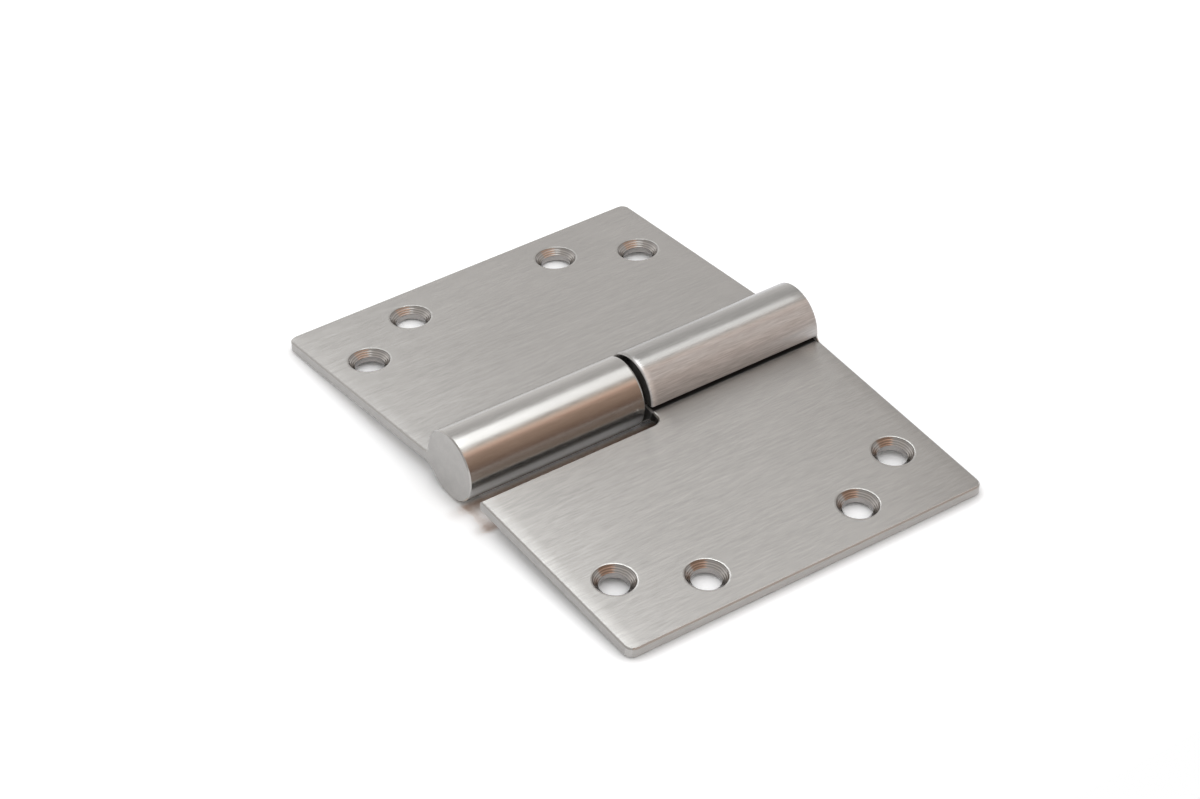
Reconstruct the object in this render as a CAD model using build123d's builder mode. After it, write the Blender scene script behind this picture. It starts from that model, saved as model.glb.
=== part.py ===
from build123d import *

import os
from math import asin, atan2, cos, hypot, isclose, radians, sin, sqrt, tan

# Ball tip lift-off hinge: two rolled sheet leaves on one pin, which carries a loose steel ball.
# Driving dimensions, in millimetres and degrees. Leaf sizes are measured from the pin axis.

# Hinge as a whole
hinge_height = 89.0
knuckle_gap = 1.5  # the ball holds the two knuckles this far apart

# Sheet and roll
sheet = 2.5
bore_radius = 5.3
face_offset = 0.9  # countersunk face under the pin axis
root_bend = 3.5  # reverse bend between a leaf's back and its knuckle
seam_gap = 0.6  # between the lip of the roll and the leaf
lip_round = 0.8
rim_round = 0.6  # on a knuckle's end at the gap

# Weld that closes the seam at a knuckle's outer end, ground flush
weld_depth = 0.5
weld_radius = 1.3

# Outline of a leaf
leaf_reach = 62.5
corner_radius = 2.0
notch_radius = 2.0  # inner corner of the notch that clears the other leaf's knuckle
fold_run = 0.3  # flat between the bends at the knuckle and that corner
edge_break = 0.3  # chamfer

# Screw holes: four to a leaf, countersunk, in a shallow arc
hole_radius = 3.2
countersink_radius = 4.5
countersink_angle = 90.0
end_hole_margin = 18.0  # from the outer edge
end_hole_inset = 9.3  # from the leaf's end
middle_hole_margin = 9.3
middle_hole_inset = 25.4

# Pin, ball and plug
running_clearance = 0.05
root_length = 42.5  # stretch of the pin that is tight in its knuckle
pin_chamfer = 0.5
ball_radius = 4.0
seat_angle = 118.0  # of the drilled seat under the ball
ball_sink = 0.8  # the pin's end face stands this far past the ball's centre
plug_length = 4.0

# Sizes that follow
half_height = hinge_height / 2
half_gap = knuckle_gap / 2
knuckle_radius = bore_radius + sheet
knuckle_length = half_height - half_gap
back_offset = face_offset + sheet

# How far out from the axis the root bend and the weld's toe end, where the roll's section
# becomes the flat sheet's
root_end_reach = sqrt((knuckle_radius + root_bend) ** 2 - (back_offset + root_bend) ** 2)
toe_end_reach = sqrt((knuckle_radius + weld_radius) ** 2 - (weld_radius - face_offset) ** 2)
fold_reach = max(root_end_reach, toe_end_reach) + fold_run
notch_reach = fold_reach + notch_radius

# The hinge lies open on a flat surface, on its knuckles' lowest lines and on the chamfered
# lower edges of both leaves, and that sets the leaves' tilt.
foot_reach = leaf_reach - edge_break
leaf_tilt = asin(knuckle_radius / hypot(foot_reach, back_offset)) - atan2(back_offset, foot_reach)

# Stations along the pin, from the middle of the hinge towards the lift-off leaf's knuckle
plug_face = half_height - plug_length
ball_centre = plug_face - running_clearance - ball_radius
pin_end = ball_centre + ball_sink

pin_axis = Axis((0, 0, knuckle_radius), (0, 1, 0))


def outward(side):
    """In a leaf's face, square to the pin, away from it."""
    return Vector(side * cos(leaf_tilt), 0, -sin(leaf_tilt))


def upward(side):
    """Square to a leaf's countersunk face, out of it."""
    return Vector(side * sin(leaf_tilt), 0, cos(leaf_tilt))


def face_plane(side):
    """The countersunk face: X outward from the pin axis, Y towards the knuckle's outer end."""
    origin = Vector(0, 0, knuckle_radius) - upward(side) * face_offset
    return Plane(origin=origin, x_dir=outward(side), z_dir=upward(side))


def section_plane(side, inset=0.0):
    """Across the pin axis, inset from the knuckle's outer end: X outward, Y upward."""
    origin = Vector(0, side * (half_height - inset), knuckle_radius)
    return Plane(origin=origin, x_dir=outward(side), z_dir=(0, -side, 0))


def along_pin(side):
    """Towards the outer end of this leaf's knuckle."""
    return Axis((0, 0, knuckle_radius), (0, side, 0))


def round_knuckle(edge):
    """True of an arc about the pin axis on a knuckle's outside."""
    return edge.geom_type == GeomType.CIRCLE and isclose(edge.radius, knuckle_radius)


def flat_leaf(side):
    """The sheet beyond the fold: outline, notch for the other knuckle and broken edges."""
    with BuildPart() as flat:
        with BuildSketch(face_plane(side)) as outline:
            with BuildLine():
                Polyline(
                    (notch_reach, -half_height),
                    (leaf_reach, -half_height),
                    (leaf_reach, half_height),
                    (fold_reach, half_height),
                    (fold_reach, half_gap),
                )
                RadiusArc((fold_reach, half_gap), (notch_reach, half_gap - notch_radius), notch_radius)
                Line((notch_reach, half_gap - notch_radius), (notch_reach, -half_height))
            make_face()
            fillet(outline.vertices().sort_by(Axis.X)[-2:], corner_radius)
        extrude(amount=-sheet)
        across = Axis((0, 0, knuckle_radius), outward(side))
        both_faces = flat.faces().filter_by(face_plane(side))
        fold_edges = both_faces.edges().sort_by(across)[:2]
        chamfer(both_faces.edges() - fold_edges, edge_break)
    return flat


def knuckle_outline(sketch):
    """Knuckle and the start of its leaf, joined under the knuckle by the reverse bend."""
    Circle(knuckle_radius)
    with Locations((0, -back_offset)):
        Rectangle(fold_reach, sheet, align=(Align.MIN, Align.MIN))
    root = sketch.vertices().sort_by_distance((knuckle_radius, -back_offset))[0]
    fillet(root, root_bend)


def welded_end(side):
    """Outer end of the knuckle, where the weld fills the seam and is ground flush."""
    with BuildPart() as end:
        with BuildSketch(section_plane(side)) as section:
            knuckle_outline(section)
            toe = section.vertices().sort_by_distance((knuckle_radius, -face_offset))[0]
            fillet(toe, weld_radius)
            Circle(bore_radius, mode=Mode.SUBTRACT)
        extrude(amount=weld_depth)
        outer_rim = end.edges().filter_by(round_knuckle).sort_by(along_pin(side))[-1]
        chamfer(outer_rim, edge_break)
    return end


def open_knuckle(side):
    """The rest of the knuckle, with its open seam and rounded lip."""
    with BuildPart() as knuckle:
        with BuildSketch(section_plane(side, weld_depth)) as section:
            knuckle_outline(section)
            Circle(bore_radius, mode=Mode.SUBTRACT)
            with Locations((0, -face_offset)):
                Rectangle(fold_reach, seam_gap, align=(Align.MIN, Align.MIN), mode=Mode.SUBTRACT)
            lip = section.vertices().sort_by_distance((knuckle_radius, seam_gap - face_offset))[0]
            fillet(lip, lip_round)
        extrude(amount=knuckle_length - weld_depth)
        gap_edges = knuckle.faces().sort_by(along_pin(side))[0].edges()
        under_lip = face_plane(side).from_local_coords((knuckle_radius, half_gap))
        inner_rim = gap_edges.filter_by(round_knuckle) + gap_edges.sort_by_distance(under_lip)[:1]
        fillet(inner_rim, rim_round)
    return knuckle


def rolled_leaf(side):
    """One leaf, on the +X or the -X side: flat sheet and knuckle in one piece, countersunk."""
    end_hole = (leaf_reach - end_hole_margin, half_height - end_hole_inset)
    middle_hole = (leaf_reach - middle_hole_margin, half_height - middle_hole_inset)
    pieces = (flat_leaf(side), open_knuckle(side), welded_end(side))
    with BuildPart() as leaf:
        for piece in pieces:
            add(piece.part)
        with Locations(face_plane(side)):
            for end in (-1, 1):
                with Locations((end_hole[0], end * end_hole[1]), (middle_hole[0], end * middle_hole[1])):
                    CounterSinkHole(hole_radius, countersink_radius, sheet, countersink_angle)
    return leaf


os.makedirs("parts", exist_ok=True)

# Leaf that carries the pin, on the frame: its knuckle is the front one
pin_leaf = rolled_leaf(-1)
pin_leaf.part.label = "pin_leaf"
export_step(pin_leaf.part, "parts/pin_leaf.step")

# Leaf that lifts off with the door: its knuckle is the rear one
lift_off_leaf = rolled_leaf(1)
lift_off_leaf.part.label = "lift_off_leaf"
export_step(lift_off_leaf.part, "parts/lift_off_leaf.step")

# Pin: tight and flush in its own knuckle, a running fit in the other, drilled for the ball.
# Half its section is drawn in a plane through the pin axis, along the pin and out from it.
half_section = Plane(origin=(0, 0, knuckle_radius), x_dir=(0, 1, 0), z_dir=(1, 0, 0))
running_radius = bore_radius - running_clearance
cup_radius = ball_radius + running_clearance
half_point = radians(seat_angle / 2)
seat_bottom = ball_centre - cup_radius / sin(half_point)
seat_top = seat_bottom + cup_radius / tan(half_point)
root_end = root_length - half_height
with BuildPart() as hinge_pin:
    with BuildSketch(half_section) as pin_section:
        with BuildLine():
            Polyline(
                (seat_bottom, 0),
                (-half_height, 0),
                (-half_height, bore_radius),
                (root_end, bore_radius),
                (root_end, running_radius),
                (pin_end - pin_chamfer, running_radius),
                (pin_end, running_radius - pin_chamfer),
                (pin_end, cup_radius),
                (seat_top, cup_radius),
                close=True,
            )
        make_face()
    revolve(axis=pin_axis)
hinge_pin.part.label = "hinge_pin"
export_step(hinge_pin.part, "parts/hinge_pin.step")

# Ball: carries the lifted leaf's weight, point to face, on the plug above it
with BuildPart() as tip_ball:
    with Locations((0, ball_centre, knuckle_radius)):
        Sphere(ball_radius)
tip_ball.part.label = "tip_ball"
export_step(tip_ball.part, "parts/tip_ball.step")

# Plug: welded into the lift-off knuckle's outer end and ground flush
with BuildPart() as end_plug:
    with BuildSketch(Plane(origin=(0, plug_face, knuckle_radius), z_dir=(0, 1, 0))):
        Circle(bore_radius)
    extrude(amount=plug_length)
end_plug.part.label = "end_plug"
export_step(end_plug.part, "parts/end_plug.step")
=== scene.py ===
from math import cos, pi, radians, sin

import bpy
from mathutils import Matrix, Vector

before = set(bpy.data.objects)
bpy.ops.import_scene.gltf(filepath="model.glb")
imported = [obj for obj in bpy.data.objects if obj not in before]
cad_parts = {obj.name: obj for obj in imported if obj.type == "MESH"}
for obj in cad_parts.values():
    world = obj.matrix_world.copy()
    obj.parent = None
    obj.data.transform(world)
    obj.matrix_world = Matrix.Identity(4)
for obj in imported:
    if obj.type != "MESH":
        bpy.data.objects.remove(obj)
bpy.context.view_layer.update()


# Leaves
# Each leaf is one piece of 2.5 mm stainless sheet, rolled round the pin at one side, notched
# for the other leaf's knuckle and countersunk for four screws. The sheet is brushed along the
# pin. The frame leaf's knuckle is polished, and the door leaf's is only rubbed down.
class Value:
    """A socket of a material's nodes. Arithmetic on it adds Math nodes."""

    def __init__(self, finish, socket):
        self.finish = finish
        self.socket = socket

    def math(self, operation, *inputs):
        return self.finish.node("ShaderNodeMath", {"operation": operation}, dict(enumerate(inputs)))

    def __add__(self, other):
        return self.math("ADD", self, other)

    def __radd__(self, other):
        return self.math("ADD", other, self)

    def __sub__(self, other):
        return self.math("SUBTRACT", self, other)

    def __rsub__(self, other):
        return self.math("SUBTRACT", other, self)

    def __mul__(self, other):
        return self.math("MULTIPLY", self, other)

    def __rmul__(self, other):
        return self.math("MULTIPLY", other, self)

    def __truediv__(self, other):
        return self.math("DIVIDE", self, other)

    def __pow__(self, other):
        return self.math("POWER", self, other)

    def __abs__(self):
        return self.math("ABSOLUTE", self)

    def least(self, other):
        return self.math("MINIMUM", self, other)

    def most(self, other):
        return self.math("MAXIMUM", self, other)

    def sine(self):
        return self.math("SINE", self)

    def ease(self, start, end, low=0.0, high=1.0):
        """From low at start to high at end, with soft ends."""
        settings = {"interpolation_type": "SMOOTHSTEP", "clamp": True}
        inputs = {"Value": self, "From Min": start, "From Max": end, "To Min": low, "To Max": high}
        return self.finish.node("ShaderNodeMapRange", settings, inputs)

    def fade(self, start, end, high=1.0):
        """From high at start to nothing at end."""
        return self.ease(start, end, high, 0.0)

    def between(self, start, full_from, full_to, end):
        """One from full_from to full_to, and nothing before start or after end."""
        return self.ease(start, full_from) * self.fade(full_to, end)

    def spread(self, low, high):
        """A noise's usual values, spread from low to high."""
        return self.ease(0.3, 0.7, low, high)


class Finish:
    """A node tree being filled."""

    def __init__(self, tree):
        self.tree = tree
        tree.nodes.clear()

    def node(self, kind, settings=None, inputs=None, output=0):
        """Adds a node: its settings first, then the values or links of its sockets."""
        made = self.tree.nodes.new(kind)
        for name, setting in (settings or {}).items():
            if name == "stops":
                for stop in list(made.color_ramp.elements)[1:]:
                    made.color_ramp.elements.remove(stop)
                made.color_ramp.elements[0].position = setting[0][0]
                made.color_ramp.elements[0].color = (*setting[0][1], 1.0)
                for place, colour in setting[1:]:
                    made.color_ramp.elements.new(place).color = (*colour, 1.0)
            else:
                setattr(made, name, setting)
        for name, given in (inputs or {}).items():
            if isinstance(given, Value):
                self.tree.links.new(given.socket, made.inputs[name])
            else:
                made.inputs[name].default_value = given
        return Value(self, made.outputs[output])

    def end(self, shader, kind="ShaderNodeOutputMaterial"):
        output = self.tree.nodes.new(kind)
        self.tree.links.new(shader.socket, output.inputs["Surface"])

    def place(self):
        """A point's place on the hinge at rest, in metres."""
        return self.node("ShaderNodeTexCoord", output="Object")

    def split(self, vector):
        """The vector's three numbers."""
        numbers = self.node("ShaderNodeSeparateXYZ", None, {0: vector}).socket.node.outputs
        return [Value(self, number) for number in numbers]

    def scaled(self, vector, share):
        return self.node("ShaderNodeVectorMath", {"operation": "SCALE"}, {0: vector, "Scale": share})

    def mix_colours(self, share, first, second):
        settings = {"data_type": "RGBA"}
        return self.node("ShaderNodeMix", settings, {"Factor": share, 6: first, 7: second}, 2)

    def mix_shaders(self, share, first, second):
        return self.node("ShaderNodeMixShader", None, {"Fac": share, 1: first, 2: second})

    def noise(self, place, scale, detail=2.0, roughness=0.5):
        inputs = {"Vector": place, "Scale": scale, "Detail": detail, "Roughness": roughness}
        return self.node("ShaderNodeTexNoise", None, inputs)

    def drawn_out(self, place, across, along):
        """The place scaled by across, but by along in the pin's direction, for streaky noise."""
        inputs = {0: place, 1: (across, along, across)}
        return self.node("ShaderNodeVectorMath", {"operation": "MULTIPLY"}, inputs)

    def brushing(self, place, across, along):
        return self.noise(self.drawn_out(place, across, along), 1.0, 3.0, 0.6)

    def bump(self, height, distance, strength=0.5, **more):
        inputs = {"Strength": strength, "Distance": distance, "Height": height, **more}
        return self.node("ShaderNodeBump", None, inputs)

    def metal(self, colour, roughness, more=None):
        inputs = {"Base Color": colour, "Metallic": 1.0, "Roughness": roughness, **(more or {})}
        return self.node("ShaderNodeBsdfPrincipled", None, inputs)


def new_finish(name):
    material = bpy.data.materials.new(name)
    material.use_nodes = True
    return material, Finish(material.node_tree)


mm = 0.001
knuckle_radius = 7.8 * mm
pin_height = knuckle_radius
leaf_tilt = radians(4.0644)
half_height = 44.5 * mm
half_gap = 0.75 * mm
leaf_reach = 62.5 * mm
notch_reach = 11.5 * mm
screw_holes = ((44.5 * mm, 35.2 * mm), (53.2 * mm, 19.1 * mm))  # from the pin, from the middle
countersink_radius = 4.5 * mm
ring_pitch = 0.36 * mm
edge_break = 0.3 * mm
end_depth = 0.06 * mm  # a ground end's finish goes this far in
leaf_steel = (0.43, 0.412, 0.392, 1.0)
# painted brown shade for the undersides of the knuckles
underside_shade_colour = (0.36, 0.3, 0.235, 1.0)
scoured_colour = (0.437, 0.425, 0.416)
tarnish = (0.37, 0.345, 0.325)


def ground_end(finish, place):
    """Fine crossed grain of an end ground flush, the same over knuckle, pin and plug."""
    grain = finish.noise(place, 3400.0, 4.0, 0.65)
    patches = finish.noise(place, 420.0, 2.0)
    shade = grain.spread(0.93, 1.07) * patches.spread(0.97, 1.03)
    steel = finish.scaled(leaf_steel[:3], shade * 0.92)
    return finish.metal(steel, grain.spread(0.4, 0.5), {"Normal": finish.bump(grain, 0.003 * mm)})


def leaf_finish(name, side, rubbed, knuckle_grain, flat_depth, roll_reflection_shade):
    """Brushed sheet with its own knuckle finish, and turned rings in the countersinks."""
    material, finish = new_finish(name)
    place = finish.place()
    x, y, z = finish.split(place)
    along = y * side
    height = z - pin_height
    reach = x * (side * cos(leaf_tilt)) - height * sin(leaf_tilt)
    level = x * (side * sin(leaf_tilt)) + height * cos(leaf_tilt)
    radius = (x * x + height * height) ** 0.5
    angle = finish.node("ShaderNodeMath", {"operation": "ARCTAN2"}, {0: height, 1: x * side})

    # brushing: long fine lines, with broader soft bands and a faint cloudiness
    fine = finish.brushing(place, 3400.0, 240.0)
    lines = finish.brushing(place, 1400.0, 80.0)
    bands = finish.brushing(place, 260.0, 12.0)
    clouds = finish.noise(place, 45.0, 3.0)
    streaks = fine * 0.6 + lines * 0.3 + bands * 0.1

    # countersinks: rings left by the tool, slightly browned, and painted shade just inside the rim
    from_holes = [((reach - out) ** 2.0 + (abs(y) - up) ** 2.0) ** 0.5 for out, up in screw_holes]
    from_hole = from_holes[0].least(from_holes[1])
    in_hole = from_hole.fade(countersink_radius - 0.05 * mm, countersink_radius)
    rings = (level * (2 * pi / ring_pitch) + finish.noise(place, 900.0) * 2.0).sine()
    painted_rim_shade = from_hole.ease(countersink_radius - 0.3 * mm, countersink_radius - 0.08 * mm, 1.0, 0.55)
    turned_steel = finish.scaled(tarnish, painted_rim_shade * rings.ease(-1.0, 1.0, 0.8, 1.2))
    turned = finish.metal(turned_steel, 0.15, {"Normal": finish.bump(rings, 0.009 * mm, 1.0)})

    # form too slight to model: edges rolled over at both ends and round the countersinks, and
    # the flat that the press left on the door leaf's roll
    past_roll = (abs(y) - (half_height - 3.5 * mm)).most(0.0)
    past_rim = (countersink_radius + 0.35 * mm - from_hole).most(0.0)
    form = angle.ease(radians(76.0), radians(44.0), 0.0, -flat_depth)
    form = form - past_roll * past_roll * 5.0 - past_rim * past_rim * 400.0

    # painted shade darkens the faces in the gap, the seam and the notch
    in_gap = abs(y).fade(half_gap + 0.01 * mm, half_gap + 0.07 * mm, 0.65)
    in_gap = in_gap * reach.fade(9.3 * mm, 9.5 * mm)
    in_seam = reach.fade(7.85 * mm, 8.15 * mm, 0.88) * reach.ease(5.0 * mm, 6.0 * mm)
    in_seam = in_seam * level.fade(-0.45 * mm, -0.25 * mm)
    in_seam = in_seam * along.between(half_gap, 1.3 * mm, 43.8 * mm, 44.0 * mm)
    in_notch = reach.fade(notch_reach - 0.09 * mm, notch_reach, 0.5)
    in_notch = in_notch * level.fade(-1.3 * mm, -1.1 * mm) * along.fade(-0.7 * mm, -0.5 * mm)
    crevice_shade = (1.0 - in_gap) * (1.0 - in_seam) * (1.0 - in_notch)

    # sheet: brushed, with the roll's dark reflection painted beside the door leaf's roll, and rough
    # on its sheared outer edge
    on_knuckle = radius.fade(knuckle_radius + 0.05 * mm, knuckle_radius + 0.35 * mm)
    on_edge = reach.ease(leaf_reach - edge_break - 0.1 * mm, leaf_reach - edge_break)
    painted_roll_reflection = reach.fade(9.0 * mm, 18.0 * mm, roll_reflection_shade)
    painted_roll_reflection = painted_roll_reflection * along.between(0.0, 4.0 * mm, 37.0 * mm, 42.0 * mm)
    shade = streaks.spread(0.93, 1.07) * clouds.spread(0.985, 1.015) * crevice_shade * (1.0 - painted_roll_reflection)
    steel = finish.scaled(leaf_steel[:3], shade)
    relief = streaks * (1.0 - on_knuckle * (1.0 - knuckle_grain))
    bump = finish.bump(relief, 0.004 * mm, Normal=finish.bump(form, 1.0, 1.0))
    along_pin = finish.node("ShaderNodeCombineXYZ", None, {"Y": 1.0})
    brushed = {"Anisotropic Rotation": 0.25, "Tangent": along_pin, "Normal": bump}
    sheet = finish.metal(steel, streaks.spread(0.22, 0.27), {"Anisotropic": 1.0, **brushed})
    sheared = finish.metal(steel, 0.55, {"Normal": bump})

    # knuckle: polished, with painted brown shade on its underside, and scoured where the door
    # leaf's is rubbed down
    grain = 0.08 * knuckle_grain
    knuckle_shade = streaks.spread(1.0 - grain, 1.0 + grain) * crevice_shade
    painted_underside_shade = angle.between(radians(-152.0), radians(-142.0), radians(-100.0), radians(-80.0))
    knuckle_steel = finish.mix_colours(painted_underside_shade, leaf_steel, underside_shade_colour)
    knuckle_steel = finish.scaled(knuckle_steel, knuckle_shade * (1.0 - 0.45 * rubbed))
    polished = finish.metal(knuckle_steel, streaks.spread(0.15, 0.21), {"Anisotropic": 0.8, **brushed})
    # the rim beside the gap is buffed, and painted lighter there as a highlight
    buffing_and_sheen = (along + (fine - 0.5) * (3.0 * mm)).fade(1.2 * mm, 2.4 * mm, rubbed * 2.0)
    buffing_and_sheen = buffing_and_sheen * angle.ease(radians(100.0), radians(76.0))
    # painted light: the scoured steel is lighter low on the knuckle and on the buffed rim
    scour_shade = knuckle_shade * angle.ease(radians(52.0), radians(26.0), 1.0, 1.3)
    scoured_steel = finish.scaled(scoured_colour, scour_shade * (1.0 + buffing_and_sheen * 0.5))
    scoured = finish.metal(scoured_steel, 0.6, {"Normal": bump})
    rubbing = angle.ease(radians(73.0), radians(50.0), rubbed * 0.25, rubbed * 2.2)
    rubbing = (rubbing * streaks.spread(0.85, 1.15)).most(buffing_and_sheen)
    knuckle = finish.mix_shaders(rubbing, polished, scoured)

    leaf = finish.mix_shaders(on_knuckle, sheet, knuckle)
    leaf = finish.mix_shaders(in_hole, leaf, turned)
    leaf = finish.mix_shaders(on_edge, leaf, sheared)
    at_end = abs(y).ease(half_height - end_depth, half_height - end_depth / 3)
    finish.end(finish.mix_shaders(at_end, leaf, ground_end(finish, place)))
    return material


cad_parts["pin_leaf"].data.materials[0] = leaf_finish(
    "frame_leaf_steel", side=-1, rubbed=0.03, knuckle_grain=0.5, flat_depth=0.0, roll_reflection_shade=0.0
)
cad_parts["lift_off_leaf"].data.materials[0] = leaf_finish(
    "door_leaf_steel", side=1, rubbed=0.4, knuckle_grain=1.0, flat_depth=0.43 * mm, roll_reflection_shade=0.26
)


# Pin
# Turned from stainless bar, pressed into the frame leaf's knuckle and running in the other
# with a little grease. It only shows in the gap between the knuckles, where it is painted dark
# with shade.
pin_dark = (0.3, 0.28, 0.26, 1.0)
pin_bright = (0.42, 0.4, 0.385, 1.0)
pin_gap_shade = (0.1, 0.092, 0.085, 1.0)
pin_material, pin_finish = new_finish("turned_pin_steel")
pin_place = pin_finish.place()
pin_along = pin_finish.split(pin_place)[1]
tool_marks = pin_finish.noise(pin_finish.drawn_out(pin_place, 60.0, 3000.0), 1.0, 2.0)
pin_steel = pin_finish.mix_colours(tool_marks, pin_dark, pin_bright)
# painted shade darkens the middle of the pin, in the gap
pin_steel = pin_finish.mix_colours(abs(pin_along).fade(1.0 * mm, 2.5 * mm), pin_steel, pin_gap_shade)
pin_bump = pin_finish.bump(tool_marks, 0.003 * mm, 0.4)
turned_pin = pin_finish.metal(pin_steel, tool_marks.spread(0.24, 0.4), {"Normal": pin_bump})
at_pin_end = pin_along.fade(end_depth / 3 - half_height, end_depth - half_height)
pin_finish.end(pin_finish.mix_shaders(at_pin_end, turned_pin, ground_end(pin_finish, pin_place)))
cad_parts["hinge_pin"].data.materials[0] = pin_material


# Ball
# A hardened bearing ball, polished, loose in the drilled seat in the pin's tip. The lifted
# leaf's weight rests on it.
ball_steel = (0.6, 0.6, 0.6, 1.0)
ball_material, ball_finish = new_finish("polished_ball_steel")
ball_wear = ball_finish.noise(ball_finish.place(), 700.0, 3.0)
ball_finish.end(ball_finish.metal(ball_steel, ball_wear.ease(0.4, 0.7, 0.05, 0.14)))
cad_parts["tip_ball"].data.materials[0] = ball_material


# End plug
# A disc of the same steel, welded into the outer end of the door leaf's knuckle. It is ground
# flush there, and its inner face lies on the ball.
plug_material, plug_finish = new_finish("ground_plug_steel")
plug_finish.end(ground_end(plug_finish, plug_finish.place()))
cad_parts["end_plug"].data.materials[0] = plug_material


# Table
# A white board, exposed until it turns pure white a few millimetres from the hinge, with a
# painted contact shadow near the steel and a painted brown shadow in the deep slot beside the
# front knuckle. The steel mirrors it bright, but with painted dark brown shadow from under the
# knuckles and the door leaf's root, and dimmer from beyond that leaf.
slot_painted_shadow = (0.42, 0.27, 0.19, 1.0)
mirrored_shade = (0.14, 0.1, 0.07, 1.0)
mirrored_board = (1.24, 1.26, 1.29, 1.0)
plain_board = (0.6, 0.59, 0.58, 1.0)
bpy.ops.object.select_all(action="DESELECT")
bpy.ops.mesh.primitive_plane_add(size=1.0, location=(-0.36, 0.0, -0.1 * mm))
table = bpy.context.object
table.name = "table"
table.scale = (1.0, 1.6, 1.0)
bpy.ops.object.transform_apply(location=True, scale=True)


def ray(finish, kind):
    """One on rays of this kind, and nothing on others."""
    return finish.node("ShaderNodeLightPath", output=f"Is {kind} Ray")


board, board_finish = new_finish("white_board")
board_x, board_y = board_finish.split(board_finish.place())[:2]
outside = (abs(board_x) - leaf_reach).most(abs(board_y) - half_height)


def clear_sky(distance):
    """The share of the sky over the board that nothing within this distance hides."""
    inputs = {"Distance": distance}
    return board_finish.node("ShaderNodeAmbientOcclusion", {"samples": 8}, inputs, "AO")


# what the camera sees of it: painted contact shadow where steel close by hides the sky
shadow_near_steel = board_x.ease(-16.0 * mm, 2.0 * mm, 1.1, 0.86)
exposure_and_shadow = clear_sky(4.0 * mm).ease(0.5, 1.0, shadow_near_steel, 1.28)
exposure_and_shadow = exposure_and_shadow.most(outside.fade(-6.0 * mm, -3.0 * mm, 1.24))
white = board_finish.node("ShaderNodeCombineXYZ", None, {"X": exposure_and_shadow, "Y": exposure_and_shadow, "Z": exposure_and_shadow})
sky = clear_sky(12.0 * mm)
front_end = board_y.fade(-half_height, 3.5 * mm - half_height)
# painted brown shadow in the deep slot beside the front knuckle
in_slot = sky.fade(0.28, 0.44).most(sky.fade(0.5, 0.66) * front_end)
in_slot = in_slot * board_x.between(3.0 * mm, 5.0 * mm, 13.0 * mm, 15.0 * mm)
seen = board_finish.mix_colours(in_slot, white, slot_painted_shadow)

# what the steel mirrors of it: painted dark shadow under the knuckles and the door leaf's root
lit = board_x.ease(3.2 * mm, 7.8 * mm, 0.03, 1.0) * board_x.ease(10.5 * mm, 12.5 * mm, 1.0, 0.25)
lit = lit.most(outside.ease(-1.5 * mm, 0.0)).most(abs(board_x).ease(16.0 * mm, 22.0 * mm))
lit = lit * board_x.ease(66.0 * mm, 82.0 * mm, 1.0, 0.35)
mirrored = board_finish.mix_colours(lit, mirrored_shade, mirrored_board)

paper = board_finish.mix_colours(ray(board_finish, "Glossy"), plain_board, mirrored)
paper = board_finish.mix_colours(ray(board_finish, "Camera"), paper, seen)
board_finish.end(board_finish.node("ShaderNodeBsdfDiffuse", None, {"Color": paper}))
table.data.materials.append(board)


# Light
# An even white tent, which the steel mirrors as a grey studio with a warm light and brown
# wood low on the right, beside the hinge's middle. A large soft box hangs overhead, brightest
# towards the rear. The camera sees plain white behind the board.
studio_grey = (0.72, 0.715, 0.71, 1.0)
tent_side = (1.0, 0.985, 0.97, 1.0)
tent_top = (1.0, 1.015, 1.04, 1.0)
pure_white = (1.0, 1.0, 1.0, 1.0)
lamp_colour = (0.91, 0.965, 1.0)
studio_stops = [
    (0.0, (1.12, 1.12, 1.12)),
    (0.03, (1.04, 1.04, 1.04)),
    (0.09, (0.82, 0.82, 0.82)),
    (0.2, (0.72, 0.72, 0.72)),
    (0.34, (0.74, 0.73, 0.72)),
    (0.66, (0.7, 0.67, 0.64)),
    (0.7, (0.62, 0.56, 0.5)),
    (0.735, (0.8, 0.64, 0.52)),
    (0.765, (1.25, 0.9, 0.69)),
    (0.785, (1.75, 1.22, 0.98)),
    (0.81, (1.08, 0.71, 0.56)),
    (0.83, (0.8, 0.53, 0.4)),
    (0.86, (0.54, 0.37, 0.28)),
    (0.89, (0.52, 0.36, 0.27)),
    (0.92, (0.51, 0.35, 0.265)),
    (0.97, (0.46, 0.32, 0.24)),
    (1.0, (0.26, 0.165, 0.12)),
]
world = bpy.data.worlds.new("studio")
bpy.context.scene.world = world
world.use_nodes = True
air = Finish(world.node_tree)
towards_x, towards_y, towards_z = air.split(air.node("ShaderNodeTexCoord", output="Generated"))
to_right = towards_x / (towards_x * towards_x + towards_z * towards_z + 0.0001) ** 0.5 * 0.5 + 0.5
studio = air.node("ShaderNodeValToRGB", {"stops": studio_stops}, {0: to_right})
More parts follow.
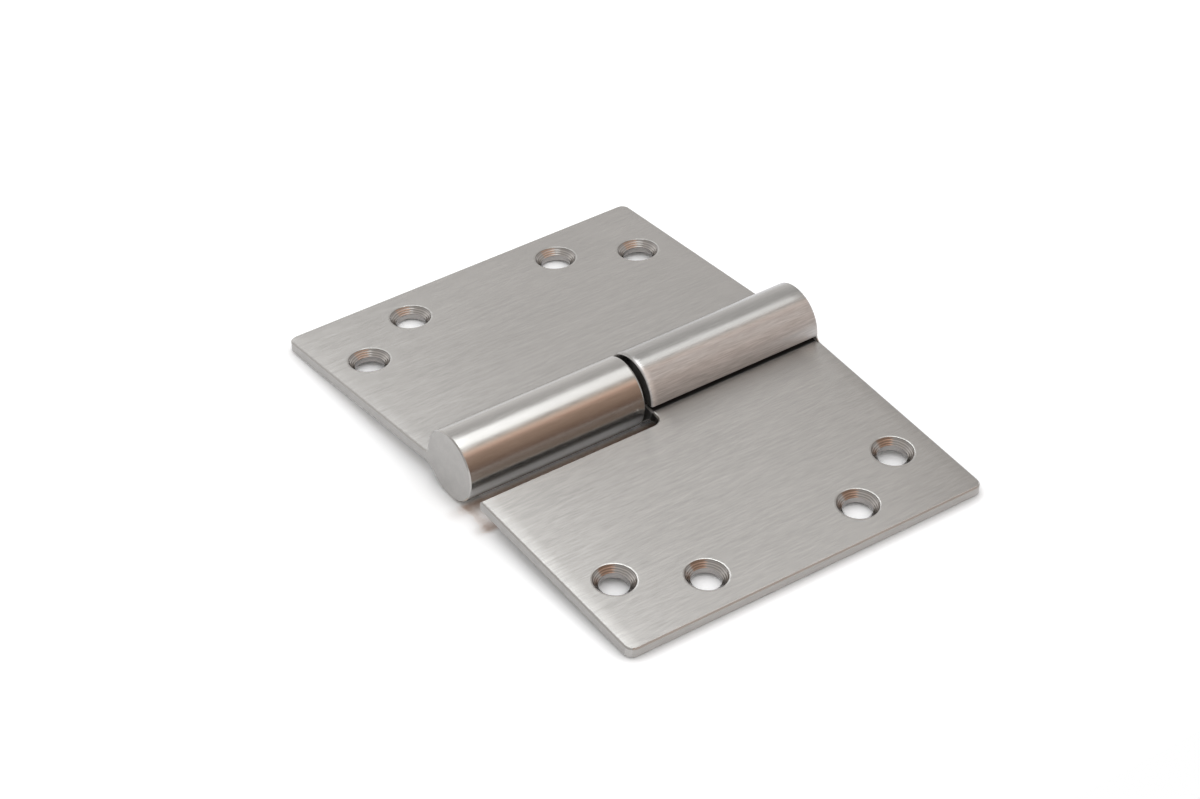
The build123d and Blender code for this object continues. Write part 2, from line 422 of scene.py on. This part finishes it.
beside_middle = towards_y.between(-0.45, -0.2, 0.66, 0.8).most(to_right.fade(0.5, 0.62))
studio = air.mix_colours(beside_middle, studio_grey, studio)
tent = air.mix_colours(towards_z.ease(0.6, 1.0), tent_side, tent_top)
reflected = (ray(air, "Glossy") + ray(air, "Transmission")).least(1.0)
shown = air.mix_colours(reflected, tent, studio)
shown = air.mix_colours(ray(air, "Camera"), shown, pure_white)
air.end(air.node("ShaderNodeBackground", None, {"Color": shown}), "ShaderNodeOutputWorld")


def soft_box(name, place, width, depth, radiance):
    """A rectangular lamp that faces down and shines evenly."""
    lamp = bpy.data.lights.new(name, "AREA")
    lamp.color = lamp_colour
    lamp.shape = "RECTANGLE"
    lamp.size = width
    lamp.size_y = depth
    lamp.energy = radiance * pi * width * depth
    lamp_object = bpy.data.objects.new(name, lamp)
    lamp_object.location = place
    lamp_object.visible_camera = False
    lamp_object.visible_diffuse = False
    bpy.context.scene.collection.objects.link(lamp_object)


soft_box("soft_box", (-0.05, 0.09, 0.7), width=0.44, depth=0.78, radiance=1.2)
soft_box("soft_box_core", (-0.01, 0.1325, 0.7), width=0.26, depth=0.3, radiance=14.0)


# Camera
# It stood to the right and in front of the hinge, about 75 cm away and 37 degrees above the
# board, with a long lens, and was turned by a fifth of a degree.
camera_data = bpy.data.cameras.new("camera")
camera_data.lens = 107.973
camera_data.sensor_width = 36.0
camera_data.clip_start = 0.01
camera_data.clip_end = 50.0
camera = bpy.data.objects.new("camera", camera_data)
bpy.context.scene.collection.objects.link(camera)
azimuth, elevation, roll = radians(54.1782), radians(37.2119), radians(0.2175)
back = Vector((sin(azimuth) * cos(elevation), -cos(azimuth) * cos(elevation), sin(elevation)))
level_right = Vector((cos(azimuth), sin(azimuth), 0.0))
level_up = back.cross(level_right)
right = level_right * cos(roll) + level_up * sin(roll)
up = level_up * cos(roll) - level_right * sin(roll)
camera.matrix_world = Matrix((right, up, back)).transposed().to_4x4()
camera.location = (0.480585, -0.353776, 0.458235)
bpy.context.scene.camera = camera
bpy.context.scene.view_settings.view_transform = "Standard"
